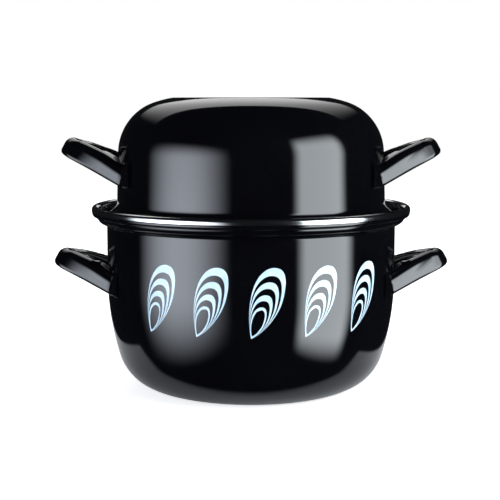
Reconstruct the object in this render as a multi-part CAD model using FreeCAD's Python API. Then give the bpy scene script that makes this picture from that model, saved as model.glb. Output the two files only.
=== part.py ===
"""Mussel pot: a drawn and enamelled sheet-steel pot whose domed lid turns over to hold the shells.

Every piece is modelled in place, in millimetres. +Z is up, the pot stands on z = 0 and the axis of
pot and lid is x = y = 0. The handles point along +X and -X. Pot and lid are each one sheet: their
section is walked from the middle outwards as lines and tangent arcs of the sheet's middle line.
"""
import FreeCAD
import Part
import math
import os

from FreeCAD import Vector

# Sheet of the pot and the lid, steel with enamel on both sides
SHEET = 1.2

# Pot: every radius below is the outer one
WALL_RADIUS = 120.0
NECK_HEIGHT = 135.3
BOWL_RADIUS = 228.0
CORNER_RADIUS = 39.0
BASE_INSET = 46.8
BASE_RING_WIDTH = 15.2
BASE_RECESS_SLOPE = 24.0
BASE_RECESS_BEND = 4.0

# Rim of the pot: a seat for the lid, a gutter wall round it and a lip that is rolled outwards
NECK_FILLET = 2.5
SEAT_SLOPE = 10.0
SEAT_LENGTH = 0.5
GUTTER_CORNER = 6.6
RIM_RISE = 16.7
LIP_CURL = 1.9
LIP_STRAIGHT = 1.6
LIP_BULGE_RADIUS = 2.0
LIP_BULGE_ANGLE = 14.0
LIP_BULGE_LENGTH = 0.3
LIP_HEM = 2.2
LIP_HEM_TURN = 114.0

# Bright steel band that is crimped over the lip
BAND_SHEET = 0.4
BAND_GAP = 0.15
BAND_INNER_LEG = 4.0

# Lid: it is a bowl too, and stands on the flat ring round its top
LID_WALL_HEIGHT = 35.4
LID_WALL_LEAN = 1.8
LID_FLAT_INSET = 55.4
LID_RING_WIDTH = 10.6
LID_RECESS_SLOPE = 14.0
LID_RECESS_BEND = 4.0
LID_TOP_BEND = 6.0
LID_TOP_SLOPE = 10.3
LID_CROWN_RADIUS = 103.5
LID_CROWN_ANGLE = 7.7
LID_SHOULDER_RADIUS = 44.7
LID_FLARE_RADIUS = 17.2
LID_FLARE_ANGLE = 45.0
LID_SKIRT_BEND = 3.0
LID_BEAD_RADIUS = 1.6
SEAT_CONTACT_ANGLE = 30.0
SEAT_GAP = 0.05

# Handles: one pressed strap of gutter section, bent to a loop, with feet that splay along the wall
STRAP_SHEET = 1.9
STRAP_DEPTH = 6.8
STRAP_WIDTH_AT_WALL = 21.0
STRAP_WIDTH_AT_TIP = 13.8
LOOP_HALF_WIDTH = 28.0
LOOP_TAPER = 2.0
LOOP_CORNER = 14.0
FOOT_BEND = 7.0
FOOT_LENGTH = 11.0
FOOT_WIDTH = 19.0
FOOT_CROWN = 1.6
FOOT_SINK = 0.3
POT_HANDLE_HEIGHT = 93.4
POT_HANDLE_REACH = 42.2
POT_HANDLE_RISE_ANGLE = 24.0
LID_HANDLE_ABOVE_EDGE = 41.2
LID_HANDLE_REACH = 43.4
LID_HANDLE_RISE_ANGLE = 27.0

UP = Vector(0, 0, 1)
AXIS_FOOT = Vector(0, 0, 0)


def turned(heading):
    """Direction in the section plane for a heading in degrees, 0 outwards and 90 up."""
    angle = math.radians(heading)
    return Vector(math.cos(angle), 0, math.sin(angle))


def line(length):
    return length, 0


def arc(radius, turn):
    """An arc of the middle line: a positive turn, in degrees, goes to the left."""
    return radius, turn


def walk(point, heading, moves, offset=0.0):
    """Edges of a walk along the moves at a distance to the left of the middle line, and its end."""
    edges = []
    for size, turn in moves:
        side = turned(heading + 90)
        if turn == 0:
            end = point + turned(heading) * size
            edges.append(Part.LineSegment(point + side * offset, end + side * offset).toShape())
        else:
            sign = math.copysign(1, turn)
            centre = point + side * (sign * size)
            spokes = [turned(heading + 90 + turn * share) * -sign for share in (0, 0.5, 1)]
            on_edge = [centre + spoke * (size - sign * offset) for spoke in spokes]
            edges.append(Part.Arc(*on_edge).toShape())
            end = centre + spokes[2] * size
            heading += turn
        point = end
    return edges, point, heading


def sheet_face(point, heading, moves, thickness):
    """Face of a sheet of even thickness whose middle line follows the moves."""
    left, end, end_heading = walk(point, heading, moves, thickness / 2)
    right, end, end_heading = walk(point, heading, moves, -thickness / 2)
    first_side = turned(heading + 90) * (thickness / 2)
    last_side = turned(end_heading + 90) * (thickness / 2)
    start_cap = Part.LineSegment(point - first_side, point + first_side).toShape()
    end_cap = Part.LineSegment(end + last_side, end - last_side).toShape()
    wire = Part.Wire(Part.__sortEdges__([start_cap] + left + [end_cap] + right))
    return Part.Face(wire)


def spun(face):
    return face.revolve(AXIS_FOOT, UP, 360)


def enclosed(point, heading, moves, offset):
    """Solid inside the surface that lies at an offset from the middle line, closed on the axis."""
    edges, end, end_heading = walk(point, heading, moves, offset)
    last = end + turned(end_heading + 90) * offset
    foot = point + turned(heading + 90) * offset
    head = Vector(0, 0, last.z)
    edges.append(Part.LineSegment(last, head).toShape())
    edges.append(Part.LineSegment(head, foot).toShape())
    return spun(Part.Face(Part.Wire(Part.__sortEdges__(edges))))


# Section of the pot, as moves of the sheet's middle line
half = SHEET / 2
base_step = 2 * BASE_RECESS_BEND * (1 - math.cos(math.radians(BASE_RECESS_SLOPE)))
base_run = 2 * BASE_RECESS_BEND * math.sin(math.radians(BASE_RECESS_SLOPE))
corner_line = CORNER_RADIUS - half
bowl_line = BOWL_RADIUS - half
wall_line = WALL_RADIUS - half
base_flat_radius = WALL_RADIUS - BASE_INSET
base_recess_radius = base_flat_radius - BASE_RING_WIDTH
corner_turn = math.degrees(math.asin((base_flat_radius + bowl_line - wall_line) / (bowl_line - corner_line)))
bowl_top = (half + corner_line * (1 - math.cos(math.radians(corner_turn)))
            + bowl_line * math.cos(math.radians(corner_turn)))
POT_START = Vector(0, 0, half + base_step)
pot_shell = [
    line(base_recess_radius),
    arc(BASE_RECESS_BEND, -BASE_RECESS_SLOPE),
    arc(BASE_RECESS_BEND, BASE_RECESS_SLOPE),
    line(BASE_RING_WIDTH - base_run),
    arc(corner_line, corner_turn),
    arc(bowl_line, 90 - corner_turn),
    line(NECK_HEIGHT - bowl_top),
]

# Section of the rim, from the neck up
seat_turn = 90 - SEAT_SLOPE
rim_seat = [
    arc(NECK_FILLET + half, -seat_turn),
    line(SEAT_LENGTH),
    arc(GUTTER_CORNER - half, seat_turn),
]
gutter_foot = walk(POT_START, 0, pot_shell + rim_seat)[1]
curl_top = NECK_HEIGHT + RIM_RISE - half - LIP_CURL
lip = [
    arc(LIP_CURL, -180),
    line(LIP_STRAIGHT),
    arc(LIP_BULGE_RADIUS, LIP_BULGE_ANGLE),
    line(LIP_BULGE_LENGTH),
    arc(LIP_HEM, -LIP_HEM_TURN),
]
pot_section = pot_shell + rim_seat + [line(curl_top - gutter_foot.z)] + lip

# The band follows the lip from inside the gutter, over the curl and down outside, a hair off it
band_offset = half + BAND_GAP + BAND_SHEET / 2
band_start = Vector(gutter_foot.x - band_offset, 0, curl_top - BAND_INNER_LEG)
band_section = [
    line(BAND_INNER_LEG),
    arc(LIP_CURL + band_offset, -180),
    line(LIP_STRAIGHT),
]

# Where the lid's bead rests, on the round corner of the gutter
corner_centre = gutter_foot - Vector(GUTTER_CORNER - half, 0, 0)
bead_spoke = GUTTER_CORNER - SHEET - LID_BEAD_RADIUS - SEAT_GAP
bead_angle = math.radians(SEAT_CONTACT_ANGLE)
bead_centre = corner_centre + Vector(
    bead_spoke * math.sin(bead_angle), 0, -bead_spoke * math.cos(bead_angle))

# Section of the lid, as moves of the middle line from the middle of its top
lid_recess_radius = WALL_RADIUS - LID_FLAT_INSET - LID_RING_WIDTH
lid_run = 2 * LID_RECESS_BEND * math.sin(math.radians(LID_RECESS_SLOPE))
shoulder_turn = 90 - LID_TOP_SLOPE - LID_CROWN_ANGLE - LID_WALL_LEAN
lid_dome = [
    line(lid_recess_radius),
    arc(LID_RECESS_BEND, LID_RECESS_SLOPE),
    arc(LID_RECESS_BEND, -LID_RECESS_SLOPE),
    line(LID_RING_WIDTH - lid_run),
    arc(LID_TOP_BEND, -LID_TOP_SLOPE),
    arc(LID_CROWN_RADIUS - half, -LID_CROWN_ANGLE),
    arc(LID_SHOULDER_RADIUS - half, -shoulder_turn),
    line(LID_WALL_HEIGHT),
    arc(LID_FLARE_RADIUS - half, LID_FLARE_ANGLE),
]
flare_end, flare_heading = walk(Vector(0, 0, 0), 0, lid_dome)[1:]
skirt_turn = 90 + flare_heading
skirt_out = LID_SKIRT_BEND * (1 - math.cos(math.radians(skirt_turn)))
slope_length = (bead_centre.x - flare_end.x - skirt_out) / math.cos(math.radians(flare_heading))
lid_section = lid_dome + [line(slope_length), arc(LID_SKIRT_BEND, -skirt_turn)]
skirt_end = walk(Vector(0, 0, 0), 0, lid_section)[1]
LID_START = Vector(0, 0, bead_centre.z - skirt_end.z)
lid_edge_height = bead_centre.z


def pot_body():
    return spun(sheet_face(POT_START, 0, pot_section, SHEET))


def pot_rim_band():
    return spun(sheet_face(band_start, 90, band_section, BAND_SHEET))


def lid_body():
    sheet = spun(sheet_face(LID_START, 0, lid_section, SHEET))
    bead = Part.makeTorus(bead_centre.x, LID_BEAD_RADIUS, Vector(0, 0, bead_centre.z), UP)
    return sheet.fuse(bead).removeSplitter()


def strap_section(crown, tangent, outward, width, depth):
    """Closed wire of the gutter section: two arcs on one centre, joined by rounded edges."""
    across = tangent.cross(outward)
    radius = (width * width / 4 + depth * depth) / (2 * depth)
    inner_radius = radius - STRAP_SHEET
    centre = crown - outward * radius
    spread = math.asin(min(1.0, width / 2 / radius))

    def point(reach, angle):
        return centre + (outward * math.cos(angle) + across * math.sin(angle)) * reach

    def edge_bulge(side):
        middle = point(radius - STRAP_SHEET / 2, side * spread)
        along = across * (side * math.cos(spread)) - outward * math.sin(spread)
        return middle + along * (STRAP_SHEET / 2)

    outer = [point(radius, angle) for angle in (-spread, 0, spread)]
    inner = [point(inner_radius, angle) for angle in (spread, 0, -spread)]
    return Part.Wire([
        Part.Arc(*outer).toShape(),
        Part.Arc(outer[2], edge_bulge(1), inner[0]).toShape(),
        Part.Arc(*inner).toShape(),
        Part.Arc(inner[2], edge_bulge(-1), outer[0]).toShape(),
    ])


def strap_stations(wall_radius, height, reach, rise):
    """Sections on the +Y half of a loop: crown point, tangent, outward side, width and depth."""
    slope = math.tan(math.radians(rise))
    plane_up = Vector(-math.sin(math.radians(rise)), 0, math.cos(math.radians(rise)))
    foot_circle = wall_radius + FOOT_CROWN + STRAP_SHEET - FOOT_SINK
    bend_y = LOOP_HALF_WIDTH + FOOT_BEND
    bend_x = math.sqrt((foot_circle + FOOT_BEND) ** 2 - bend_y ** 2)
    splay = math.atan2(bend_y, bend_x)
    corner_x = wall_radius + reach - LOOP_CORNER
    corner_y = LOOP_HALF_WIDTH - LOOP_TAPER - LOOP_CORNER
    stations = []

    def station(x, y, heading, foot_share):
        """The crown at x, y with the strap running along the heading, a foot where the share is 1."""
        crown = Vector(x, y, height + (x - wall_radius) * slope)
        tangent = Vector(math.cos(heading), math.sin(heading), math.cos(heading) * slope).normalize()
        outward = tangent.cross(plane_up) * (1 - foot_share) + Vector(x, y, 0).normalize() * foot_share
        outward = (outward - tangent * outward.dot(tangent)).normalize()
        along = min(1.0, max(0.0, (x - wall_radius) / reach))
        width = STRAP_WIDTH_AT_WALL + (STRAP_WIDTH_AT_TIP - STRAP_WIDTH_AT_WALL) * along
        width += (FOOT_WIDTH - width) * foot_share
        depth = STRAP_DEPTH + (FOOT_CROWN - STRAP_DEPTH) * foot_share
        stations.append((crown, tangent, outward, width, depth))

    # The outer bar, the rounded corner and the leg that runs in towards the wall
    station(wall_radius + reach, 0, math.pi / 2, 0)
    for share in (0.0, 0.25, 0.5, 0.75, 1.0):
        turn = math.pi / 2 * share
        station(corner_x + LOOP_CORNER * math.cos(turn), corner_y + LOOP_CORNER * math.sin(turn),
                math.pi / 2 + turn, 0)
    for share in (0.35, 0.7):
        station(corner_x + (bend_x + FOOT_BEND - corner_x) * share,
                LOOP_HALF_WIDTH - LOOP_TAPER * (1 - share), math.pi, 0)

    # The bend outwards on to the wall and the foot that lies along it
    for share in (0.0, 0.25, 0.5, 0.75, 1.0):
        turn = (math.pi / 2 - splay) * share
        station(bend_x - FOOT_BEND * math.sin(turn), bend_y - FOOT_BEND * math.cos(turn),
                math.pi - turn, share * share * (3 - 2 * share))
    for share in (0.5, 1.0):
        turn = splay + FOOT_LENGTH * share / foot_circle
        station(foot_circle * math.cos(turn), foot_circle * math.sin(turn), turn + math.pi / 2, 1)
    return stations


def mirrored(crown, tangent, outward, width, depth):
    """The same section on the -Y half, with the strap still running the same way."""
    crown = Vector(crown.x, -crown.y, crown.z)
    tangent = Vector(-tangent.x, tangent.y, -tangent.z)
    outward = Vector(outward.x, -outward.y, outward.z)
    return crown, tangent, outward, width, depth


def loop_handle(wall_radius, height, reach, rise, wall):
    """The handle at +X, lofted from foot to foot and cut off where it meets the wall."""
    half_loop = strap_stations(wall_radius, height, reach, rise)
    stations = [mirrored(*station) for station in reversed(half_loop[1:])] + half_loop
    strap = Part.makeLoft([strap_section(*station) for station in stations], True, False)
    return strap.cut(wall)


def half_turn(shape):
    other = shape.copy()
    other.rotate(AXIS_FOOT, UP, 180)
    return other


pot_wall = enclosed(POT_START, 0, pot_shell, -half)
lid_wall = enclosed(LID_START, 0, lid_dome, half)
lid_wall_radius = walk(LID_START, 0, lid_dome[:-1])[1].x + half
pot_handle = loop_handle(
    WALL_RADIUS, POT_HANDLE_HEIGHT, POT_HANDLE_REACH, POT_HANDLE_RISE_ANGLE, pot_wall)
lid_handle = loop_handle(lid_wall_radius, lid_edge_height + LID_HANDLE_ABOVE_EDGE,
                         LID_HANDLE_REACH, LID_HANDLE_RISE_ANGLE, lid_wall)

pieces = {
    "pot_body": pot_body(),
    "pot_rim_band": pot_rim_band(),
    "pot_handle_right": pot_handle,
    "pot_handle_left": half_turn(pot_handle),
    "lid_body": lid_body(),
    "lid_handle_right": lid_handle,
    "lid_handle_left": half_turn(lid_handle),
}

os.makedirs("parts", exist_ok=True)
for name, shape in pieces.items():
    shape.exportStep(os.path.join("parts", name + ".step"))
    print(f"{name}: {len(shape.Solids)} solid, valid {shape.isValid()}, {shape.Volume / 1000:.2f} cm3")
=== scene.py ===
# %% [markdown]
# # A mussel pot in black enamel
# The pot is a steel sheet that was drawn to shape, dipped in ground glass and fired until the glass
# ran smooth. Its domed lid is a bowl for the empty shells. Almost all that the eye sees of such a
# thing is what it mirrors, so this lesson takes as much care of the lights as of the pieces.
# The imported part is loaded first, because every piece goes where its solid already is.

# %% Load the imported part
import math

import bmesh
import bpy
from mathutils import Matrix, Vector
from mathutils.geometry import interpolate_bezier


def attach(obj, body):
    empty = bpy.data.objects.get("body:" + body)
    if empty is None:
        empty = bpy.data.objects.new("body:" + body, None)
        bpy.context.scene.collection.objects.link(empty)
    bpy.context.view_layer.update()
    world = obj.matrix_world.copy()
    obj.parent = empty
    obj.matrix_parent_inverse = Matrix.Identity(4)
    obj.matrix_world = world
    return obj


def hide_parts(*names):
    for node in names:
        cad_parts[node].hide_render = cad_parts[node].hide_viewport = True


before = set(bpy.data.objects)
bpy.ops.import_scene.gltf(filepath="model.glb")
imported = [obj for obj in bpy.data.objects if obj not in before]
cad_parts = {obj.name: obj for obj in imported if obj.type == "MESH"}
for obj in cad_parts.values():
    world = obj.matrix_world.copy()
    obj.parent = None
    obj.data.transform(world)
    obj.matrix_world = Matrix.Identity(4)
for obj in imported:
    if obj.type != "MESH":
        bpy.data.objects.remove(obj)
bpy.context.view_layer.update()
MM = 0.001
print("packed pieces:", ", ".join(sorted(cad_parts)))

# %% [markdown]
# ## Camera
# The photograph looks at the pot from about a metre, a little above the lid, through a long lens.
# The lens and the tilt were worked out from the ellipses of the rim and the foot. A longer lens from
# further off would show the rim flatter than it is there.

# %% Camera
CAMERA_DISTANCE = 1.020
CAMERA_HEIGHT = 0.240
CAMERA_TILT = 7.06
LENS = 87.98
SHIFT = -0.002
FILM_WIDTH = 36.0

camera = bpy.data.objects.new("camera", bpy.data.cameras.new("camera"))
camera.data.lens = LENS
camera.data.sensor_width = FILM_WIDTH
camera.data.shift_x = SHIFT
camera.location = (0, -CAMERA_DISTANCE, CAMERA_HEIGHT)
camera.rotation_euler = (math.radians(90 - CAMERA_TILT), 0, 0)
bpy.context.scene.collection.objects.link(camera)
bpy.context.scene.camera = camera
bpy.context.scene.view_settings.view_transform = "Standard"
print(f"camera {CAMERA_DISTANCE} m away with a {LENS} mm lens")

# %% [markdown]
# ## Colours and nodes
# Colours are written as sRGB hex values, as a designer picks them, and Blender's shaders want linear
# light, so one function turns the one into the other. A second one adds a node to any tree, sets its
# properties and fills its inputs: a value is set, and another node or one of its sockets is linked.

# %% Helpers for colours and nodes
def linear(hex_colour):
    """An sRGB hex colour as linear red, green, blue and full alpha."""
    channels = [int(hex_colour[i:i + 2], 16) / 255 for i in (1, 3, 5)]
    return [c / 12.92 if c <= 0.04045 else ((c + 0.055) / 1.055) ** 2.4 for c in channels] + [1.0]


def add_node(tree, kind, settings=None, inputs=None):
    """Adds a node. An input takes a value, another node's socket, or a node for its first output."""
    node = tree.nodes.new(kind)
    for name, value in (settings or {}).items():
        setattr(node, name, value)
    for name, value in (inputs or {}).items():
        if isinstance(value, bpy.types.Node):
            value = value.outputs[0]
        if isinstance(value, bpy.types.NodeSocket):
            tree.links.new(value, node.inputs[name])
        else:
            node.inputs[name].default_value = value
    return node


def new_material(name):
    """An empty material with its tree and its output node."""
    material = bpy.data.materials.new(name)
    material.use_nodes = True
    material.node_tree.nodes.clear()
    output = add_node(material.node_tree, "ShaderNodeOutputMaterial")
    return material, material.node_tree, output


print("middle grey in linear light:", round(linear("#808080")[0], 3))

# %% [markdown]
# ## Black vitreous enamel
# The finish of pot, lid and handles is glass, fired on to steel at about 820 degrees. It is black all
# through, so its own colour hardly shows, and what shows is a clear mirror image of the room, four
# parts in a hundred strong when seen straight on and far stronger along the edges. That is a glass
# with an index of 1.5 and a very low roughness. The glass froze while it ran, which leaves a faint
# orange peel some 5 mm across and 3 microns deep, and the sheet under it was drawn, which leaves
# slow waves 50 microns deep. A Bump node for each shows them without any more faces.

# %% Black enamel
PEEL_SIZE = 5 * MM
PEEL_DEPTH = 0.003 * MM
WAVE_SIZE = 45 * MM
WAVE_DEPTH = 0.05 * MM
CLOUD_SIZE = 30 * MM


def make_black_enamel():
    material, tree, output = new_material("black_vitreous_enamel")
    coords = add_node(tree, "ShaderNodeTexCoord").outputs["Object"]
    clouds, waves, peel = [
        add_node(tree, "ShaderNodeTexNoise", {}, {
            "Vector": coords, "Scale": 1 / size, "Detail": detail})
        for size, detail in ((CLOUD_SIZE, 3.0), (WAVE_SIZE, 1.0), (PEEL_SIZE, 1.0))]
    drawn = add_node(tree, "ShaderNodeBump", {}, {"Distance": WAVE_DEPTH, "Height": waves})
    fired = add_node(tree, "ShaderNodeBump", {}, {
        "Distance": PEEL_DEPTH, "Height": peel, "Normal": drawn})
    colour = add_node(tree, "ShaderNodeMix", {"data_type": "RGBA"}, {
        0: clouds, 6: linear("#040406"), 7: linear("#08080B")})
    roughness = add_node(tree, "ShaderNodeMapRange", {}, {
        "Value": clouds, "To Min": 0.05, "To Max": 0.09})
    shader = add_node(tree, "ShaderNodeBsdfPrincipled", {}, {
        "Base Color": colour.outputs[2], "Roughness": roughness, "IOR": 1.5, "Normal": fired})
    tree.links.new(shader.outputs[0], output.inputs["Surface"])
    return material


black_enamel = make_black_enamel()
print("enamel made:", black_enamel.name)

# %% [markdown]
# ## Polished stainless steel
# The band on the rim is stainless steel strip, rolled and polished along its length. Polish leaves
# very fine lines round the rim that stretch each highlight a little across them. The lines are about
# 0.1 mm apart on the real band, too fine for a picture of the whole pot, and are drawn 0.4 mm apart.

# %% Polished steel
LINE_SPACING = 0.4 * MM
LINE_DEPTH = 0.002 * MM


def make_polished_steel():
    material, tree, output = new_material("polished_stainless_steel")
    coords = add_node(tree, "ShaderNodeTexCoord")
    place = add_node(tree, "ShaderNodeSeparateXYZ", {}, {0: coords.outputs["Object"]})
    flat = add_node(tree, "ShaderNodeCombineXYZ", {}, {
        "X": place.outputs["X"], "Y": place.outputs["Y"]})
    radius = add_node(tree, "ShaderNodeVectorMath", {"operation": "LENGTH"}, {0: flat.outputs[0]})
    round_rim = add_node(tree, "ShaderNodeVectorMath", {"operation": "NORMALIZE"}, {0: flat.outputs[0]})
    way = add_node(tree, "ShaderNodeSeparateXYZ", {}, {0: round_rim.outputs["Vector"]})
    lines_out = add_node(tree, "ShaderNodeMath", {"operation": "DIVIDE"}, {
        0: radius.outputs["Value"], 1: LINE_SPACING})
    lines_up = add_node(tree, "ShaderNodeMath", {"operation": "DIVIDE"}, {
        0: place.outputs["Z"], 1: LINE_SPACING})
    across = add_node(tree, "ShaderNodeCombineXYZ", {}, {
        "X": lines_out, "Y": lines_up, "Z": way.outputs["X"]})
    lines = add_node(tree, "ShaderNodeTexNoise", {"noise_dimensions": "4D"}, {
        "Vector": across, "W": way.outputs["Y"], "Scale": 1.0, "Detail": 2.0})
    bump = add_node(tree, "ShaderNodeBump", {}, {"Distance": LINE_DEPTH, "Height": lines})
    colour = add_node(tree, "ShaderNodeMix", {"data_type": "RGBA"}, {
        0: lines, 6: linear("#C6C8CA"), 7: linear("#D6D7D8")})
    roughness = add_node(tree, "ShaderNodeMapRange", {}, {
        "Value": lines, "To Min": 0.1, "To Max": 0.17})
    shader = add_node(tree, "ShaderNodeBsdfPrincipled", {}, {
        "Base Color": colour.outputs[2], "Roughness": roughness, "Metallic": 1.0, "Normal": bump})
    tree.links.new(shader.outputs[0], output.inputs["Surface"])
    return material


polished_steel = make_polished_steel()
print("steel made:", polished_steel.name)

# %% [markdown]
# ## Pale blue print
# The front carries a decoration in a second enamel: ground glass with a white and a little blue
# pigment, printed through a screen and fired again. It is opaque, a shade uneven as the glass
# thins and thickens, and just as glossy as the black round it.

# %% Pale enamel
PRINT_CLOUD_SIZE = 9 * MM
PRINT_CLOUD_LOW = -0.6
PRINT_CLOUD_HIGH = 1.6


def make_pale_enamel():
    material, tree, output = new_material("pale_blue_printed_enamel")
    coords = add_node(tree, "ShaderNodeTexCoord").outputs["Object"]
    clouds = add_node(tree, "ShaderNodeTexNoise", {}, {
        "Vector": coords, "Scale": 1 / PRINT_CLOUD_SIZE, "Detail": 3.0})
    thickness = add_node(tree, "ShaderNodeMapRange", {}, {
        "Value": clouds, "To Min": PRINT_CLOUD_LOW, "To Max": PRINT_CLOUD_HIGH})
    colour = add_node(tree, "ShaderNodeMix", {"data_type": "RGBA"}, {
        0: thickness, 6: linear("#BFE0F6"), 7: linear("#DFF1FB")})
    roughness = add_node(tree, "ShaderNodeMapRange", {}, {
        "Value": clouds, "To Min": 0.1, "To Max": 0.18})
    shader = add_node(tree, "ShaderNodeBsdfPrincipled", {}, {
        "Base Color": colour.outputs[2], "Roughness": roughness, "IOR": 1.5})
    tree.links.new(shader.outputs[0], output.inputs["Surface"])
    return material


pale_enamel = make_pale_enamel()
print("print made:", pale_enamel.name)

# %% [markdown]
# ## Sections of the sheet
# Pot and lid were drawn and rolled from flat sheet, so all their shape is in one section. It is
# walked as a tool path would be: straight runs and arcs of the sheet's middle line, each starting in
# the direction in which the last one ended, so that every bend runs smoothly into the next. A
# second line at half the sheet's thickness on each side gives the two surfaces.

# %% Walk a section
LINE_STEP = 2.5
ARC_STEP = 6.0


def turned(heading):
    """Direction for a heading in degrees: 0 is outwards and 90 is up."""
    return Vector((math.cos(math.radians(heading)), math.sin(math.radians(heading))))


def walk(start, heading, moves, offset=0.0):
    """Points at a distance to the left of the middle line, then where the middle line ends.

    A move is (length, 0) for a run and (radius, turn in degrees) for an arc, to the left if positive.
    """
    end = Vector(start)
    points = []
    for size, turn in moves:
        side = turned(heading + 90)
        length = size if turn == 0 else size * math.radians(abs(turn))
        steps = max(1, math.ceil(length / LINE_STEP), math.ceil(abs(turn) / ARC_STEP))
        sign = math.copysign(1, turn)
        centre = end + side * (sign * size)
        for step in range(steps):
            if turn == 0:
                points.append(end + turned(heading) * (size * step / steps) + side * offset)
            else:
                spoke = turned(heading + 90 + turn * step / steps) * -sign
                points.append(centre + spoke * (size - sign * offset))
        if turn == 0:
            end = end + turned(heading) * size
        else:
            heading += turn
            end = centre + turned(heading + 90) * (-sign * size)
    points.append(end + turned(heading + 90) * offset)
    return points, end, heading


def rounded_end(end, heading, half, steps=6):
    """The edge of a sheet, rounded from its left side to its right side."""
    return [end + turned(heading + 90 - 180 * step / steps) * half for step in range(1, steps)]


print("a quarter bend ends at", tuple(round(c, 2) for c in walk((0, 0), 0, [(10, 90)])[1]))

# %% [markdown]
# ## Spinning a section
# A drawn pot is as round as the lathe that trimmed it. Its surface follows one rule, each point of the
# section carried round the axis, so Geometry Nodes make it. The piece starts as nothing but the
# line of its section. The tree lays a grid with one row for each point of that line, looks each
# point up, and turns it about the Z axis by its place across the grid. Merging closes the seam and
# the poles.

# %% Tree that spins a section
STEPS_ROUND = 180
MERGE_DISTANCE = 0.001 * MM


def new_tree(name, inputs):
    """An empty Geometry Nodes tree with named inputs, and its input and output nodes."""
    tree = bpy.data.node_groups.new(name, "GeometryNodeTree")
    for label, kind in inputs:
        tree.interface.new_socket(label, in_out="INPUT", socket_type="NodeSocket" + kind)
    tree.interface.new_socket("Geometry", in_out="OUTPUT", socket_type="NodeSocketGeometry")
    return tree, add_node(tree, "NodeGroupInput"), add_node(tree, "NodeGroupOutput")


def close_tree(tree, geometry, finish, output):
    """Ends a tree in plain faces with a material on them."""
    plain = add_node(tree, "GeometryNodeRealizeInstances", {}, {"Geometry": geometry})
    coated = add_node(tree, "GeometryNodeSetMaterial", {}, {
        "Geometry": plain.outputs["Geometry"], "Material": finish})
    tree.links.new(coated.outputs["Geometry"], output.inputs["Geometry"])


def make_spinning_tree():
    tree, given, output = new_tree("spun_sheet", [
        ("Section", "Geometry"), ("Steps round", "Int"), ("Finish", "Material")])
    section = given.outputs["Section"]
    rows = add_node(tree, "GeometryNodeAttributeDomainSize", {"component": "MESH"}, {
        "Geometry": section}).outputs["Point Count"]
    columns = add_node(tree, "ShaderNodeMath", {"operation": "ADD"}, {
        0: given.outputs["Steps round"], 1: 1.0})
    grid = add_node(tree, "GeometryNodeMeshGrid", {}, {
        "Size X": 1.0, "Size Y": 1.0, "Vertices X": columns, "Vertices Y": rows})
    place = add_node(tree, "GeometryNodeInputPosition")
    across = add_node(tree, "ShaderNodeSeparateXYZ", {}, {0: place.outputs[0]})
    last = add_node(tree, "ShaderNodeMath", {"operation": "SUBTRACT"}, {0: rows, 1: 1.0})
    share = add_node(tree, "ShaderNodeMath", {"operation": "ADD"}, {0: across.outputs["Y"], 1: 0.5})
    row = add_node(tree, "ShaderNodeMath", {"operation": "MULTIPLY"}, {0: share, 1: last})
    index = add_node(tree, "ShaderNodeMath", {"operation": "ROUND"}, {0: row})
    point = add_node(tree, "GeometryNodeSampleIndex", {"data_type": "FLOAT_VECTOR"}, {
        "Geometry": section, "Value": place, "Index": index})
    angle = add_node(tree, "ShaderNodeMath", {"operation": "MULTIPLY"}, {
        0: across.outputs["X"], 1: math.tau})
    spun = add_node(tree, "ShaderNodeVectorRotate", {"rotation_type": "Z_AXIS"}, {
        "Vector": point.outputs["Value"], "Angle": angle})
    surface = add_node(tree, "GeometryNodeSetPosition", {}, {
        "Geometry": grid.outputs["Mesh"], "Position": spun.outputs[0]})
    closed = add_node(tree, "GeometryNodeMergeByDistance", {}, {
        "Geometry": surface.outputs["Geometry"], "Distance": MERGE_DISTANCE})
    smooth = add_node(tree, "GeometryNodeSetShadeSmooth", {}, {"Geometry": closed.outputs["Geometry"]})
    close_tree(tree, smooth.outputs["Geometry"], given.outputs["Finish"], output)
    return tree


spinning_tree = make_spinning_tree()
print("the spinning tree has", len(spinning_tree.nodes), "nodes")

# %% [markdown]
# The tree's result becomes a plain mesh before anything else is done with it, because the export
# takes meshes. Its faces are then turned outwards: on a closed sheet Blender can tell by itself which
# side that is.

# %% From a section to a piece
def new_piece(name, mesh):
    piece = bpy.data.objects.new(name, mesh)
    bpy.context.scene.collection.objects.link(piece)
    return piece


def run_tree(piece, tree, values):
    """Runs a tree on a piece and keeps the result as the piece's own mesh, faces outwards."""
    modifier = piece.modifiers.new("shape", "NODES")
    modifier.node_group = tree
    for item in tree.interface.items_tree:
        if item.name in values:
            modifier[item.identifier] = values[item.name]
    graph = bpy.context.evaluated_depsgraph_get()
    mesh = bpy.data.meshes.new_from_object(piece.evaluated_get(graph))
    while mesh.materials and mesh.materials[0] is None:
        mesh.materials.pop(index=0)
    piece.modifiers.remove(modifier)
    piece.data = mesh
    face_outwards(mesh)


def face_outwards(mesh):
    shape = bmesh.new()
    shape.from_mesh(mesh)
    bmesh.ops.recalc_face_normals(shape, faces=shape.faces)
    shape.to_mesh(mesh)
    shape.free()


def spin(name, section, finish):
    """A piece of sheet, spun from the points of its section in millimetres."""
    line = bpy.data.meshes.new(name)
    corners = [(radius * MM, 0, height * MM) for radius, height in section]
    line.from_pydata(corners, [(i, i + 1) for i in range(len(corners) - 1)], [])
    piece = new_piece(name, line)
    run_tree(piece, spinning_tree, {"Steps round": STEPS_ROUND, "Finish": finish})
    low, high = extent(piece)
    print(f"{name}: {len(piece.data.polygons)} faces, {high[0] - low[0]:.4f} m across, "
          f"top at {high[2]:.4f} m")
    return piece


def extent(piece):
    """Lowest and highest corner of a mesh."""
    places = [vertex.co for vertex in piece.data.vertices]
    return [min(p[i] for p in places) for i in range(3)], [max(p[i] for p in places) for i in range(3)]


print("pieces will be spun in", STEPS_ROUND, "steps")

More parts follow.
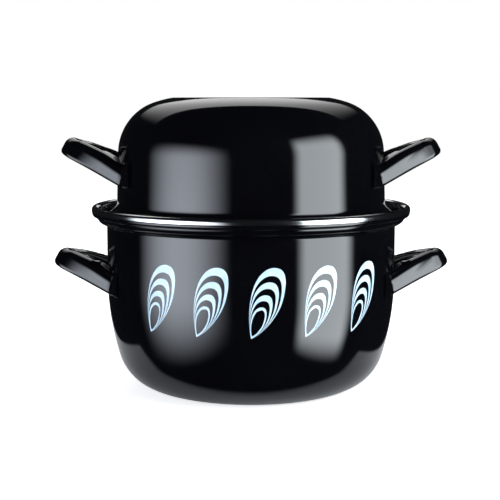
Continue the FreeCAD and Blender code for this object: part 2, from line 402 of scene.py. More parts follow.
# %% [markdown]
# ## Pot
# The wall stands straight for a third of its height and then curves in to a small rounded foot. The
# bottom is stamped up inside the ring that it stands on, so that it can't rock when it gets hot.
# Above the neck the sheet steps out to a gutter that catches the lid, and ends in a lip that is
# rolled outwards and hemmed.

# %% Pot
SHEET = 1.2
HALF = SHEET / 2
WALL_RADIUS = 120.0
NECK_HEIGHT = 135.3
BOWL_RADIUS = 228.0
CORNER_RADIUS = 39.0
BASE_INSET = 46.8
BASE_RING_WIDTH = 15.2
BASE_RECESS_SLOPE = 24.0
BASE_RECESS_BEND = 4.0
NECK_FILLET = 2.5
SEAT_SLOPE = 10.0
SEAT_LENGTH = 0.5
GUTTER_CORNER = 6.6
RIM_RISE = 16.7
LIP_CURL = 1.9
LIP_STRAIGHT = 1.6
LIP_BULGE_RADIUS = 2.0
LIP_BULGE_ANGLE = 14.0
LIP_BULGE_LENGTH = 0.3
LIP_HEM = 2.2
LIP_HEM_TURN = 114.0

recess_sine = math.sin(math.radians(BASE_RECESS_SLOPE))
recess_cosine = math.cos(math.radians(BASE_RECESS_SLOPE))
bowl_line = BOWL_RADIUS - HALF
corner_line = CORNER_RADIUS - HALF
corner_turn = math.degrees(math.asin((BOWL_RADIUS - BASE_INSET) / (bowl_line - corner_line)))
bowl_top = (HALF + corner_line * (1 - math.cos(math.radians(corner_turn)))
            + bowl_line * math.cos(math.radians(corner_turn)))
pot_start = (0, HALF + 2 * BASE_RECESS_BEND * (1 - recess_cosine))
pot_moves = [
    (WALL_RADIUS - BASE_INSET - BASE_RING_WIDTH, 0),
    (BASE_RECESS_BEND, -BASE_RECESS_SLOPE),
    (BASE_RECESS_BEND, BASE_RECESS_SLOPE),
    (BASE_RING_WIDTH - 2 * BASE_RECESS_BEND * recess_sine, 0),
    (corner_line, corner_turn),
    (bowl_line, 90 - corner_turn),
    (NECK_HEIGHT - bowl_top, 0),
    (NECK_FILLET + HALF, SEAT_SLOPE - 90),
    (SEAT_LENGTH, 0),
    (GUTTER_CORNER - HALF, 90 - SEAT_SLOPE),
]
gutter_foot = walk(pot_start, 0, pot_moves)[1]
curl_top = NECK_HEIGHT + RIM_RISE - HALF - LIP_CURL
pot_moves += [
    (curl_top - gutter_foot.y, 0),
    (LIP_CURL, -180),
    (LIP_STRAIGHT, 0),
    (LIP_BULGE_RADIUS, LIP_BULGE_ANGLE),
    (LIP_BULGE_LENGTH, 0),
    (LIP_HEM, -LIP_HEM_TURN),
]
inside, lip_end, lip_heading = walk(pot_start, 0, pot_moves, HALF)
outside = walk(pot_start, 0, pot_moves, -HALF)[0]
pot = spin("pot_wall", inside + rounded_end(lip_end, lip_heading, HALF) + outside[::-1], black_enamel)

# %% [markdown]
# ## Steel band on the rim
# Enamel chips where lids knock against it, so the lip wears a thin strip of stainless steel, folded
# over it from the gutter side and pressed flat outside. Its section closes on itself, so the same
# tree spins it to a ring.

# %% Rim band
BAND_SHEET = 0.4
BAND_GAP = 0.15
BAND_INNER_LEG = 4.0

band_half = BAND_SHEET / 2
band_offset = HALF + BAND_GAP + band_half
band_start = Vector((gutter_foot.x - band_offset, curl_top - BAND_INNER_LEG))
band_moves = [(BAND_INNER_LEG, 0), (LIP_CURL + band_offset, -180), (LIP_STRAIGHT, 0)]
over, band_end, band_heading = walk(band_start, 90, band_moves, band_half)
under = walk(band_start, 90, band_moves, -band_half)[0]
band_section = over + rounded_end(band_end, band_heading, band_half) + under[::-1]
band_section += rounded_end(band_start, 270, band_half) + [over[0]]
band = spin("rim_band_crimped", band_section, polished_steel)

# %% [markdown]
# ## Lid
# Turned over, the lid is a bowl, and it then stands on the flat ring round the slight hollow of its
# top. From there one sheet runs over the shoulder, down the straight wall and out to a flare, where
# a rolled bead rests on the round corner of the gutter.

# %% Lid
LID_WALL_HEIGHT = 41.0
LID_WALL_LEAN = 1.8
LID_FLAT_INSET = 55.4
LID_RING_WIDTH = 10.6
LID_RECESS_SLOPE = 14.0
LID_RECESS_BEND = 4.0
LID_TOP_BEND = 6.0
LID_TOP_SLOPE = 10.3
LID_CROWN_RADIUS = 103.5
LID_CROWN_ANGLE = 7.7
LID_SHOULDER_RADIUS = 44.7
LID_FLARE_RADIUS = 8.0
LID_FLARE_ANGLE = 51.67
LID_SKIRT_BEND = 3.0
LID_BEAD_RADIUS = 1.6
SEAT_CONTACT_ANGLE = 30.0
SEAT_GAP = 0.05
BEAD_STEPS = 24

bead_reach = GUTTER_CORNER - SHEET - LID_BEAD_RADIUS - SEAT_GAP
gutter_centre = gutter_foot - Vector((GUTTER_CORNER - HALF, 0))
bead_centre = gutter_centre + turned(SEAT_CONTACT_ANGLE - 90) * bead_reach
lid_moves = [
    (WALL_RADIUS - LID_FLAT_INSET - LID_RING_WIDTH, 0),
    (LID_RECESS_BEND, LID_RECESS_SLOPE),
    (LID_RECESS_BEND, -LID_RECESS_SLOPE),
    (LID_RING_WIDTH - 2 * LID_RECESS_BEND * math.sin(math.radians(LID_RECESS_SLOPE)), 0),
    (LID_TOP_BEND, -LID_TOP_SLOPE),
    (LID_CROWN_RADIUS - HALF, -LID_CROWN_ANGLE),
    (LID_SHOULDER_RADIUS - HALF, LID_TOP_SLOPE + LID_CROWN_ANGLE + LID_WALL_LEAN - 90),
]
wall_top = walk((0, 0), 0, lid_moves)[1]
lid_moves += [(LID_WALL_HEIGHT, 0), (LID_FLARE_RADIUS - HALF, LID_FLARE_ANGLE)]
flare_end, flare_heading = walk((0, 0), 0, lid_moves)[1:]
lid_wall_radius = wall_top.x + LID_WALL_HEIGHT * math.sin(math.radians(LID_WALL_LEAN)) + HALF
skirt_turn = 90 + flare_heading
skirt_out = LID_SKIRT_BEND * (1 - math.cos(math.radians(skirt_turn)))
slope_length = (bead_centre.x - flare_end.x - skirt_out) / math.cos(math.radians(flare_heading))
lid_moves += [(slope_length, 0), (LID_SKIRT_BEND, -skirt_turn)]
lid_start = (0, bead_centre.y - walk((0, 0), 0, lid_moves)[1].y)
above = walk(lid_start, 0, lid_moves, HALF)[0]
below = walk(lid_start, 0, lid_moves, -HALF)[0]
neck = math.degrees(math.asin(HALF / LID_BEAD_RADIUS))
bead = [bead_centre + turned(90 - neck - (360 - 2 * neck) * step / BEAD_STEPS) * LID_BEAD_RADIUS
        for step in range(BEAD_STEPS + 1)]
lid = spin("lid_dome", above[:-1] + bead + below[-2::-1], black_enamel)

# %% [markdown]
# ## Handles
# Each handle is one pressed strap. Its section is an upright flank with a lower edge that curls in, a
# round shoulder and a shelf that reaches in over the fingers, which makes thin metal stiff and leaves
# no edge to hold. A curve with a bevel can't change its section on the way, so the strap is lofted: a
# closed section is laid at each station along the loop, and bands of faces join them.

# %% Sections of a strap
STRAP_SHEET = 1.9
CURL_RADIUS = 4.0
CURL_ANGLE = 38.0
CURL_ANGLE_AT_TIP = 50.0
FLANK = 9.6
FLANK_AT_WALL = 4.8
FLANK_AT_TIP = 5.2
LEAN_AT_TIP = 29.0
SHOULDER_RADIUS = 7.0
SHOULDER_RADIUS_AT_WALL = 8.2
SHOULDER_RADIUS_AT_TIP = 8.0
SHELF_LENGTH = 3.0
SHELF_LENGTH_AT_WALL = 8.0
RUN_SHARES = (0.05, 0.5, 0.95)
SHOULDER_STEPS = 14
CURL_STEPS = 10
EDGE_STEPS = 6
INNER_SHOULDER_STEPS = 6
INNER_CURL_STEPS = 4


def strap_section(foot, outward, up, curl, flank, radius, shelf):
    """Points of the closed section, from its flank up, over, in and back round its lower edge."""
    def spoke(degrees):
        return outward * math.cos(math.radians(degrees)) + up * math.sin(math.radians(degrees))

    def bend(centre, reach, first, last, steps):
        headings = [first + (last - first) * step / steps for step in range(steps + 1)]
        return [centre + spoke(heading) * reach for heading in headings]

    edge = STRAP_SHEET / 2
    curl_centre = foot + up * (CURL_RADIUS * math.sin(math.radians(curl))) - outward * CURL_RADIUS
    shoulder = curl_centre + outward * (CURL_RADIUS - radius) + up * flank
    shelf_edge = shoulder + up * (radius - edge) - outward * shelf
    lower_edge = curl_centre + spoke(-curl) * (CURL_RADIUS - edge)
    bends = [
        bend(shoulder, radius, 0, 90, SHOULDER_STEPS),
        bend(shelf_edge, edge, 90, 270, EDGE_STEPS),
        bend(shoulder, radius - STRAP_SHEET, 90, 0, INNER_SHOULDER_STEPS),
        bend(curl_centre, CURL_RADIUS - STRAP_SHEET, 0, -curl, INNER_CURL_STEPS)
        + bend(lower_edge, edge, 180 - curl, 360 - curl, EDGE_STEPS)[1:-1]
        + bend(curl_centre, CURL_RADIUS, -curl, 0, CURL_STEPS),
    ]
    points = []
    for this, following in zip(bends, bends[1:] + bends[:1]):
        points += this
        points += [this[-1].lerp(following[0], share) for share in RUN_SHARES]
    return points


test_ring = strap_section(Vector((0, 0, 0)), Vector((1, 0, 0)), Vector((0, 0, 1)),
                          CURL_ANGLE, FLANK, SHOULDER_RADIUS, SHELF_LENGTH)
print("a strap section has", len(test_ring), "points")

# %% [markdown]
# The loop is described once, for the half on one side of the handle's middle: the round tip, where
# the strap leans back and is lower, the straight leg that runs in and out to the side, the bend on
# to the wall and the foot that is welded there. Its mirror image makes the other half.

# %% Stations along a loop
POT_HANDLE_HEIGHT = 85.0
POT_HANDLE_REACH = 45.0
POT_HANDLE_RISE_ANGLE = 23.3
LID_HANDLE_ABOVE_EDGE = 32.3
LID_HANDLE_REACH = 46.3
LID_HANDLE_RISE_ANGLE = 26.6
LOOP_TIP_RADIUS = 18.8
LOOP_LEG_ANGLE = 31.4
FOOT_BEND = 10.0
FOOT_LENGTH = 12.0
FOOT_FLANK = 13.0
FOOT_SINK = 0.5
TIP_LENGTH = 12.0
LEAN_LENGTH = 34.0
TIP_STEPS = 27
LEG_STEPS = 14
BEND_STEPS = 18
FOOT_STEPS = 3


def smooth(share):
    """A share kept between 0 and 1 that leaves both ends gently."""
    share = min(1.0, max(0.0, share))
    return share * share * (3 - 2 * share)


def strap_stations(wall_radius, height, reach, rise):
    """Sections on the +Y half of a loop, from the middle of its tip to the end of its foot."""
    slope = math.tan(math.radians(rise))
    foot_circle = wall_radius + STRAP_SHEET - FOOT_SINK
    lean = math.radians(LEAN_AT_TIP)

    # The lean draws the curl's outermost point in by this much
    curl_sine = math.sin(math.radians(CURL_ANGLE_AT_TIP))
    drawn_in = CURL_RADIUS * (math.cos(lean) + math.sin(lean) * curl_sine - 1)
    tip_x = wall_radius + reach + drawn_in
    last = Vector((tip_x, 0, height + reach * slope))
    stations = []

    def station(x, y, heading, foot_share=0.0):
        """The outer face's lower edge at x, y, with the strap running along the heading."""
        rise_here = slope * (1 - foot_share)
        last.z += (x - last.x) * rise_here
        last.x = x
        outward = Vector((math.sin(heading), -math.cos(heading), 0))
        lean_back = math.cos(heading) * rise_here
        up = Vector((-lean_back * math.cos(heading), -lean_back * math.sin(heading), 1)).normalized()
        tilt = lean * smooth(1 - (tip_x - x) / LEAN_LENGTH)
        outward, up = (outward * math.cos(tilt) + up * math.sin(tilt),
                       up * math.cos(tilt) - outward * math.sin(tilt))
        tip_share = smooth(1 - (tip_x - x) / TIP_LENGTH)
        inwards = min(1.0, max(0.0, 1 - (x - wall_radius) / reach))
        curl = CURL_ANGLE + (CURL_ANGLE_AT_TIP - CURL_ANGLE) * tip_share
        radius = SHOULDER_RADIUS + (SHOULDER_RADIUS_AT_WALL - SHOULDER_RADIUS) * inwards
        radius += (SHOULDER_RADIUS_AT_TIP - radius) * tip_share
        shelf = SHELF_LENGTH + (SHELF_LENGTH_AT_WALL - SHELF_LENGTH) * inwards ** 2
        flank = FLANK + (FLANK_AT_WALL - FLANK) * inwards
        flank += (FLANK_AT_TIP - flank) * tip_share + (FOOT_FLANK - flank) * foot_share
        stations.append((Vector((x, y, last.z)), outward, up, curl, flank, radius, shelf))

    tip_turn = math.radians(90 - LOOP_LEG_ANGLE)
    for step in range(TIP_STEPS + 1):
        turn = tip_turn * step / TIP_STEPS
        station(tip_x - LOOP_TIP_RADIUS * (1 - math.cos(turn)), LOOP_TIP_RADIUS * math.sin(turn),
                math.pi / 2 + turn)
    leg_heading = math.pi / 2 + tip_turn
    leg_start = Vector((tip_x - LOOP_TIP_RADIUS * (1 - math.cos(tip_turn)),
                        LOOP_TIP_RADIUS * math.sin(tip_turn), 0))
    leg_way = Vector((math.cos(leg_heading), math.sin(leg_heading), 0))
    leg_side = Vector((math.sin(leg_heading), -math.cos(leg_heading), 0))

    # The bend's centre lies on the leg's outer side and as far from the axis as the foot lets it
    abreast = leg_start + leg_side * FOOT_BEND
    inward = -abreast.dot(leg_way)
    leg_length = inward - math.sqrt(inward ** 2 - abreast.dot(abreast) + (foot_circle + FOOT_BEND) ** 2)
    bend_centre = abreast + leg_way * leg_length
    splay = math.atan2(bend_centre.y, bend_centre.x)
    for step in range(1, LEG_STEPS):
        spot = leg_start + leg_way * (leg_length * step / LEG_STEPS)
        station(spot.x, spot.y, leg_heading)
    bend_turn = leg_heading - splay - math.pi / 2
    for step in range(BEND_STEPS + 1):
        share = step / BEND_STEPS
        heading = leg_heading - bend_turn * share
        station(bend_centre.x - FOOT_BEND * math.sin(heading),
                bend_centre.y + FOOT_BEND * math.cos(heading), heading, foot_share=smooth(share))
    for step in range(1, FOOT_STEPS + 1):
        turn = splay + FOOT_LENGTH * step / FOOT_STEPS / foot_circle
        station(foot_circle * math.cos(turn), foot_circle * math.sin(turn), turn + math.pi / 2,
                foot_share=1.0)
    return stations


pot_handle_sizes = WALL_RADIUS, POT_HANDLE_HEIGHT, POT_HANDLE_REACH, POT_HANDLE_RISE_ANGLE
print("half a loop has", len(strap_stations(*pot_handle_sizes)), "stations")

# %% Loft the handles
HANDLE_SHARP_ANGLE = 50


def mirrored(foot, outward, up, *sizes):
    """The same section on the -Y half."""
    return (*[Vector((v.x, -v.y, v.z)) for v in (foot, outward, up)], *sizes)


def loft(name, rings, finish):
    """A closed piece from rings of points in millimetres, each with as many points as the next."""
    mesh = bpy.data.meshes.new(name)
    size = len(rings[0])
    corners = [point * MM for ring in rings for point in ring]
    faces = [list(range(size)), list(range(len(corners) - size, len(corners)))]
    for row in range(len(rings) - 1):
        for i in range(size):
            j = (i + 1) % size
            faces.append([row * size + i, row * size + j, (row + 1) * size + j, (row + 1) * size + i])
    mesh.from_pydata(corners, [], faces)
    mesh.materials.append(finish)
    face_outwards(mesh)
    mesh.shade_smooth()
    mesh.set_sharp_from_angle(angle=math.radians(HANDLE_SHARP_ANGLE))
    return new_piece(name, mesh)


def loop_handles(name, wall_radius, height, reach, rise):
    """The handle at +X and, turned by half a turn about the axis, the one at -X."""
    half_loop = strap_stations(wall_radius, height, reach, rise)
    stations = [mirrored(*station) for station in reversed(half_loop[1:])] + half_loop
    rings = [strap_section(*station) for station in stations]
    right = loft(name + "_right", rings, black_enamel)
    left = loft(name + "_left", rings, black_enamel)
    left.data.transform(Matrix.Rotation(math.pi, 4, "Z"))
    print(f"{name}: reaches {extent(right)[1][0]:.4f} m and rises to {extent(right)[1][2]:.4f} m")
    return right, left


pot_right, pot_left = loop_handles("pot_loop", *pot_handle_sizes)
lid_right, lid_left = loop_handles(
    "lid_loop", lid_wall_radius, bead_centre.y + LID_HANDLE_ABOVE_EDGE,
    LID_HANDLE_REACH, LID_HANDLE_RISE_ANGLE)

# %% [markdown]
# ## Row of shells
# The front of the pot carries a pale print, a row of mussel shells. Each is drawn as the shell
# grows: every year's edge is the same outline, larger, and all of them meet at the beak. One
# shell is drawn flat as a few crescents, and Geometry Nodes set copies of it in a row, tilt them
# and wrap the row round the wall, where the print stands a tenth of a millimetre proud.

# %% One flat shell
SHELL_KNOTS = [
    ((0, 0), (6, 4), (15, 20), (15, 34)),
    ((15, 34), (15, 47), (12, 57), (5, 57)),
    ((5, 57), (-3, 57), (-9, 49), (-9, 36)),
    ((-9, 36), (-9, 24), (-5, 10), (0, 0)),
]
GROWTH_EDGES = [(1.0, 0.89), (0.8, 0.71), (0.62, 0.54), (0.45, 0.0)]
PRINT_PROUD = 0.12
PRINT_SUNK = 0.1
PRINT_MERGE_DISTANCE = 0.02
PRINT_SHARP_ANGLE = 40


def shell_outline(steps=14):
    points = []
    for knots in SHELL_KNOTS:
        points += interpolate_bezier(*[Vector((x, y, 0)) for x, y in knots], steps + 1)[:-1]
    return points


def flat_shell():
    """Crescents between growth edges as thin closed solids, the beak at the origin."""
    shape = bmesh.new()
    outline = shell_outline()
    count = len(outline)
    for outer, inner in GROWTH_EDGES:
        corners = [(outer, -PRINT_SUNK), (outer, PRINT_PROUD),
                   (inner, PRINT_PROUD), (inner, -PRINT_SUNK)]
        loops = [[shape.verts.new((p.x * size * MM, p.y * size * MM, depth * MM)) for p in outline]
                 for size, depth in corners]
        for one, two in zip(loops, loops[1:] + loops[:1]):
            for i in range(count):
                j = (i + 1) % count
                shape.faces.new([one[i], one[j], two[j], two[i]])
    bmesh.ops.remove_doubles(shape, verts=shape.verts, dist=PRINT_MERGE_DISTANCE * MM)
    mesh = bpy.data.meshes.new("shells")
    shape.to_mesh(mesh)
    shape.free()
    return mesh


shell_mesh = flat_shell()
print("one shell has", len(shell_mesh.polygons), "faces")

# %% Tree that sets the shells in a row round the wall
SHELL_COUNT = 5
SHELL_PITCH = 43.0
SHELL_TILT = 16.0
ROW_HEIGHT = 61.0


def make_shell_row_tree():
    tree, given, output = new_tree("shell_row", [
        ("Shell", "Geometry"), ("Count", "Int"), ("Pitch", "Float"), ("Tilt", "Float"),
        ("Height", "Float"), ("Wall radius", "Float"), ("Bowl radius", "Float"),
        ("Bowl top", "Float"), ("Finish", "Material")])
    given = given.outputs

    # A row along X with its middle at 0, each shell tilted in its place
    places_left = add_node(tree, "ShaderNodeMath", {"operation": "MULTIPLY_ADD"}, {
        0: given["Count"], 1: -0.5, 2: 0.5})
    left = add_node(tree, "ShaderNodeMath", {"operation": "MULTIPLY"}, {
        0: places_left, 1: given["Pitch"]})
    start = add_node(tree, "ShaderNodeCombineXYZ", {}, {"X": left, "Y": given["Height"]})
    pitch = add_node(tree, "ShaderNodeCombineXYZ", {}, {"X": given["Pitch"]})
    row = add_node(tree, "GeometryNodeMeshLine", {}, {
        "Count": given["Count"], "Start Location": start, "Offset": pitch})
    to_right = add_node(tree, "ShaderNodeMath", {"operation": "MULTIPLY"}, {0: given["Tilt"], 1: -1.0})
    tilt = add_node(tree, "ShaderNodeCombineXYZ", {}, {"Z": to_right})
    shells = add_node(tree, "GeometryNodeInstanceOnPoints", {}, {
        "Points": row, "Instance": given["Shell"], "Rotation": tilt})
    plain = add_node(tree, "GeometryNodeRealizeInstances", {}, {"Geometry": shells})

    # How far the bowl has drawn in at this height, from the circle of its section
    place = add_node(tree, "ShaderNodeSeparateXYZ", {}, {
        0: add_node(tree, "GeometryNodeInputPosition")}).outputs
    below = add_node(tree, "ShaderNodeMath", {"operation": "SUBTRACT"}, {
        0: given["Bowl top"], 1: place["Y"]})
    dip = add_node(tree, "ShaderNodeMath", {"operation": "MAXIMUM"}, {0: below, 1: 0.0})
    dip_square = add_node(tree, "ShaderNodeMath", {"operation": "MULTIPLY"}, {0: dip, 1: dip})
    bowl = given["Bowl radius"]
    bowl_square = add_node(tree, "ShaderNodeMath", {"operation": "MULTIPLY"}, {0: bowl, 1: bowl})
    square = add_node(tree, "ShaderNodeMath", {"operation": "SUBTRACT"}, {
        0: bowl_square, 1: dip_square})
    root = add_node(tree, "ShaderNodeMath", {"operation": "SQRT"}, {0: square})
    drawn_in = add_node(tree, "ShaderNodeMath", {"operation": "SUBTRACT"}, {0: bowl, 1: root})

    # X runs round the wall, and the height over the sheet away from it
    wall = add_node(tree, "ShaderNodeMath", {"operation": "SUBTRACT"}, {
        0: given["Wall radius"], 1: drawn_in})
    reach = add_node(tree, "ShaderNodeMath", {"operation": "ADD"}, {0: wall, 1: place["Z"]})
    to_front = add_node(tree, "ShaderNodeMath", {"operation": "MULTIPLY"}, {0: reach, 1: -1.0})
    in_front = add_node(tree, "ShaderNodeCombineXYZ", {}, {"Y": to_front, "Z": place["Y"]})
    angle = add_node(tree, "ShaderNodeMath", {"operation": "DIVIDE"}, {
        0: place["X"], 1: given["Wall radius"]})
    wrapped = add_node(tree, "ShaderNodeVectorRotate", {"rotation_type": "Z_AXIS"}, {
        "Vector": in_front, "Angle": angle})
    on_wall = add_node(tree, "GeometryNodeSetPosition", {}, {"Geometry": plain, "Position": wrapped})
    close_tree(tree, on_wall.outputs["Geometry"], given["Finish"], output)
    return tree


shells = new_piece("shell_print", shell_mesh)
run_tree(shells, make_shell_row_tree(), {
    "Count": SHELL_COUNT, "Pitch": SHELL_PITCH * MM, "Tilt": math.radians(SHELL_TILT),
    "Height": ROW_HEIGHT * MM, "Wall radius": WALL_RADIUS * MM, "Bowl radius": BOWL_RADIUS * MM,
    "Bowl top": bowl_top * MM, "Finish": pale_enamel})
shells.data.shade_smooth()
shells.data.set_sharp_from_angle(angle=math.radians(PRINT_SHARP_ANGLE))
print("print:", len(shells.data.polygons), "faces from", [round(c, 4) for c in extent(shells)[0]],
      "to", [round(c, 4) for c in extent(shells)[1]])

# %% [markdown]
# ## Floor and background
# The pot stands on a white plinth in front of white paper. The camera sees pale floor and paper
# everywhere, with the pot's shadow on it. In the gloss of the enamel the plinth ends where the
# studio's plinth did, close in front of the pot, and past its edge the dark room and the lights show:
# that is why the front of the black pot is black. Light Path tells the floor which kind of ray asks.
# The world lights matt surfaces softly from all round and is dark in mirrors, so that the print's
# colour comes out about as it is written.

# %% Floor
PLINTH_LEFT = -0.19
PLINTH_RIGHT = 0.17
PLINTH_FRONT = -0.105
PLINTH_BOW = 1.9
PLINTH_EDGE = 0.006
FLOOR_SIZE = 4.0
FLOOR_GLOW = 0.74
PLINTH_GLOW = 0.12


def make_floor_paper():
    """White matt paper that the gloss of the enamel sees only as far as the plinth's edges."""
    material, tree, output = new_material("white_matt_paper")
    rays = add_node(tree, "ShaderNodeLightPath").outputs
    coords = add_node(tree, "ShaderNodeTexCoord")
    place = add_node(tree, "ShaderNodeSeparateXYZ", {}, {0: coords.outputs["Object"]}).outputs
    square = add_node(tree, "ShaderNodeMath", {"operation": "MULTIPLY"}, {0: place["X"], 1: place["X"]})
    bow = add_node(tree, "ShaderNodeMath", {"operation": "MULTIPLY"}, {0: square, 1: PLINTH_BOW})
    depth = add_node(tree, "ShaderNodeMath", {"operation": "SUBTRACT"}, {0: place["Y"], 1: bow})

    # 1 on the plinth and 0 off it: each edge lets through what lies on its inner side
    on_plinth = 1.0
    for value, edge, blur in ((place["X"], PLINTH_LEFT, PLINTH_EDGE),
                              (place["X"], PLINTH_RIGHT, -PLINTH_EDGE),
                              (depth, PLINTH_FRONT, PLINTH_EDGE)):
        inside = add_node(tree, "ShaderNodeMapRange", {"interpolation_type": "SMOOTHSTEP"}, {
            "Value": value, "From Min": edge - blur, "From Max": edge + blur})
        on_plinth = add_node(tree, "ShaderNodeMath", {"operation": "MULTIPLY"}, {
            0: on_plinth, 1: inside})
    off_plinth = add_node(tree, "ShaderNodeMath", {"operation": "SUBTRACT"}, {0: 1.0, 1: on_plinth})
    ends_here = add_node(tree, "ShaderNodeMath", {"operation": "MULTIPLY"}, {
        0: rays["Is Glossy Ray"], 1: off_plinth})
    paper = add_node(tree, "ShaderNodeBsdfDiffuse", {}, {"Color": linear("#F2F2F1")})
    in_gloss = add_node(tree, "ShaderNodeMath", {"operation": "MULTIPLY"}, {
        0: rays["Is Glossy Ray"], 1: PLINTH_GLOW})
    strength = add_node(tree, "ShaderNodeMath", {"operation": "MULTIPLY_ADD"}, {
        0: rays["Is Camera Ray"], 1: FLOOR_GLOW, 2: in_gloss})
    glow = add_node(tree, "ShaderNodeEmission", {}, {"Strength": strength})
    lit = add_node(tree, "ShaderNodeAddShader", {}, {0: paper.outputs[0], 1: glow.outputs[0]})
    nothing = add_node(tree, "ShaderNodeBsdfTransparent")
    shader = add_node(tree, "ShaderNodeMixShader", {}, {
        0: ends_here, 1: lit.outputs[0], 2: nothing.outputs[0]})
    tree.links.new(shader.outputs[0], output.inputs["Surface"])
    return material


def stage_sheet(name, material, corners):
    """A flat sheet that is part of the studio and not of the pot."""
    mesh = bpy.data.meshes.new(name)
    mesh.from_pydata(corners, [], [(0, 1, 2, 3)])
    mesh.materials.append(material)
    new_piece(name, mesh)


FLOOR_DROP = -0.3 * MM
stage_sheet("floor", make_floor_paper(), [
    (x * FLOOR_SIZE / 2, y * FLOOR_SIZE / 2, FLOOR_DROP)
    for x, y in ((-1, -1), (1, -1), (1, 1), (-1, 1))])
print("floor", FLOOR_SIZE, "m square")

# %% Backdrop and world
BACKDROP_DISTANCE = 2.1
BACKDROP_HALF_WIDTH = 0.3
BACKDROP_LOW = -0.3
BACKDROP_HIGH = 0.35
ROOM_LEVEL = 0.012
FILL_LEVEL = 0.42


def make_backdrop_paper():
    """Shines for rays from the camera or out of a mirror, and puts no light on the pot."""
    material, tree, output = new_material("white_backdrop_paper")
    rays = add_node(tree, "ShaderNodeLightPath").outputs
    seen = add_node(tree, "ShaderNodeMath", {"operation": "MAXIMUM"}, {
        0: rays["Is Camera Ray"], 1: rays["Is Glossy Ray"]})
    seen_or_through = add_node(tree, "ShaderNodeMath", {"operation": "MAXIMUM"}, {
        0: seen, 1: rays["Is Transmission Ray"]})
    glow = add_node(tree, "ShaderNodeEmission", {}, {"Strength": seen_or_through})
    tree.links.new(glow.outputs[0], output.inputs["Surface"])
    return material


stage_sheet("backdrop", make_backdrop_paper(), [
    (-BACKDROP_HALF_WIDTH, BACKDROP_DISTANCE, BACKDROP_LOW),
    (BACKDROP_HALF_WIDTH, BACKDROP_DISTANCE, BACKDROP_LOW),
    (BACKDROP_HALF_WIDTH, BACKDROP_DISTANCE, BACKDROP_HIGH),
    (-BACKDROP_HALF_WIDTH, BACKDROP_DISTANCE, BACKDROP_HIGH)])

world = bpy.data.worlds.new("studio")
world.use_nodes = True
bpy.context.scene.world = world
sky = world.node_tree
sky.nodes.clear()
sky_rays = add_node(sky, "ShaderNodeLightPath").outputs
level = add_node(sky, "ShaderNodeMapRange", {}, {
    "Value": sky_rays["Is Diffuse Ray"], "To Min": ROOM_LEVEL, "To Max": FILL_LEVEL})
room = add_node(sky, "ShaderNodeBackground", {}, {"Color": linear("#D8E0EC"), "Strength": level})
paper_white = add_node(sky, "ShaderNodeBackground", {}, {"Color": linear("#FFFFFF"), "Strength": 1.0})
for_camera = add_node(sky, "ShaderNodeMixShader", {}, {
    0: sky_rays["Is Camera Ray"], 1: room.outputs[0], 2: paper_white.outputs[0]})
add_node(sky, "ShaderNodeOutputWorld", {}, {"Surface": for_camera.outputs[0]})
print("room level", ROOM_LEVEL, "in mirrors and", FILL_LEVEL, "on matt surfaces")

# %% [markdown]
# ## Lights
# Where a light has to stand can be read from the enamel: a ray from the camera to each edge of a
# highlight, turned back at the surface, points at the edge of the lamp. Two softboxes stand left and
# right in front, the right one narrower and taller, and a wide panel hangs above and behind for the
# bright band on the lid's shoulder. Each dims towards its edges, by nodes that read the place on its
# sheet, which gives the soft sides of the highlights. A lamp's strength is what the eye would see in
# its middle, 1 being paper white, and is turned to watts from its area.

# %% Softboxes
AIM = Vector((0, 0, 0.13))


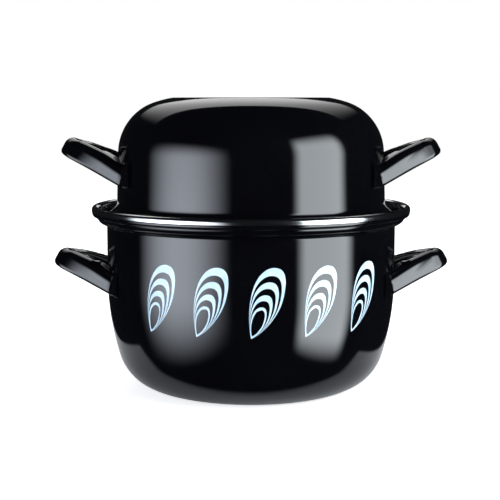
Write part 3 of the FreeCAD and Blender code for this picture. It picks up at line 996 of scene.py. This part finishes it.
def faded_light(name, size, brightness, tint, fades):
    """A sheet of light. The fades are shares of its size: towards left, right, bottom and top."""
    data = bpy.data.lights.new(name, "AREA")
    data.shape = "RECTANGLE"
    data.size, data.size_y = size
    data.energy = brightness * math.pi * size[0] * size[1]
    data.color = linear(tint)[:3]
    data.use_nodes = True
    tree = data.node_tree
    tree.nodes.clear()
    place = add_node(tree, "ShaderNodeSeparateXYZ", {}, {
        0: add_node(tree, "ShaderNodeNewGeometry").outputs["Parametric"]}).outputs
    strength = 1.0
    edges = ((place["X"], 0, fades[0]), (place["X"], 1, -fades[1]),
             (place["Y"], 0, fades[2]), (place["Y"], 1, -fades[3]))
    for value, edge, fade in edges:
        level = add_node(tree, "ShaderNodeMapRange", {"interpolation_type": "SMOOTHSTEP"}, {
            "Value": value, "From Min": edge, "From Max": edge + fade})
        strength = add_node(tree, "ShaderNodeMath", {"operation": "MULTIPLY"}, {0: strength, 1: level})
    glow = add_node(tree, "ShaderNodeEmission", {}, {"Strength": strength})
    add_node(tree, "ShaderNodeOutputLight", {}, {"Surface": glow.outputs[0]})
    light = bpy.data.objects.new(name, data)
    light.visible_camera = False
    bpy.context.scene.collection.objects.link(light)
    print(f"{name}: {data.energy:.1f} W before it fades")
    return light


def stand_in_front(light, azimuth, elevation, distance):
    """Turns a light to the pot. Azimuth 0 is towards the camera and -90 to the left."""
    flat = math.cos(math.radians(elevation))
    way = Vector((math.sin(math.radians(azimuth)) * flat, -math.cos(math.radians(azimuth)) * flat,
                  math.sin(math.radians(elevation))))
    light.location = AIM + way * distance
    light.rotation_euler = way.to_track_quat("Z", "Y").to_euler()


left_box = faded_light("softbox_left", size=(2.4, 1.8), brightness=8.2, tint="#E6EEFA",
                       fades=(0.48, 0.48, 0.46, 0.5))
stand_in_front(left_box, azimuth=-54.5, elevation=-6.0, distance=1.4)
right_box = faded_light("softbox_right", size=(1.4, 2.2), brightness=9.0, tint="#EAF2F8",
                        fades=(0.2, 0.24, 0.18, 0.3))
stand_in_front(right_box, azimuth=59, elevation=2.0, distance=1.4)

# %% Overhead panel
PANEL_HEIGHT = 1.03
PANEL_X = (-1.15, 0.95)
PANEL_Y = (0.45, 2.0)

panel_size = (PANEL_X[1] - PANEL_X[0], PANEL_Y[1] - PANEL_Y[0])
panel = faded_light("panel_above", panel_size, brightness=1.8, tint="#FFFFFF",
                    fades=(0.45, 0.45, 0.02, 0.02))
panel.location = (sum(PANEL_X) / 2, sum(PANEL_Y) / 2, PANEL_HEIGHT)

# %% [markdown]
# ## Hand the pieces over
# Nothing on the pot moves by itself, so all pieces ride on the one body. Each takes the place of one
# imported solid. The print takes the place of none and rides on the same body as the wall that it
# lies on.

# %% Pieces and solids
def hand_over(piece, slot, *nodes):
    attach(piece, "root")
    if nodes:
        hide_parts(*nodes)


hand_over(pot, "black_enamel", "pot_body")
hand_over(band, "polished_steel", "pot_rim_band")
hand_over(lid, "black_enamel", "lid_body")
hand_over(pot_right, "black_enamel", "pot_handle_right")
hand_over(pot_left, "black_enamel", "pot_handle_left")
hand_over(lid_right, "black_enamel", "lid_handle_right")
hand_over(lid_left, "black_enamel", "lid_handle_left")
hand_over(shells, "black_enamel")
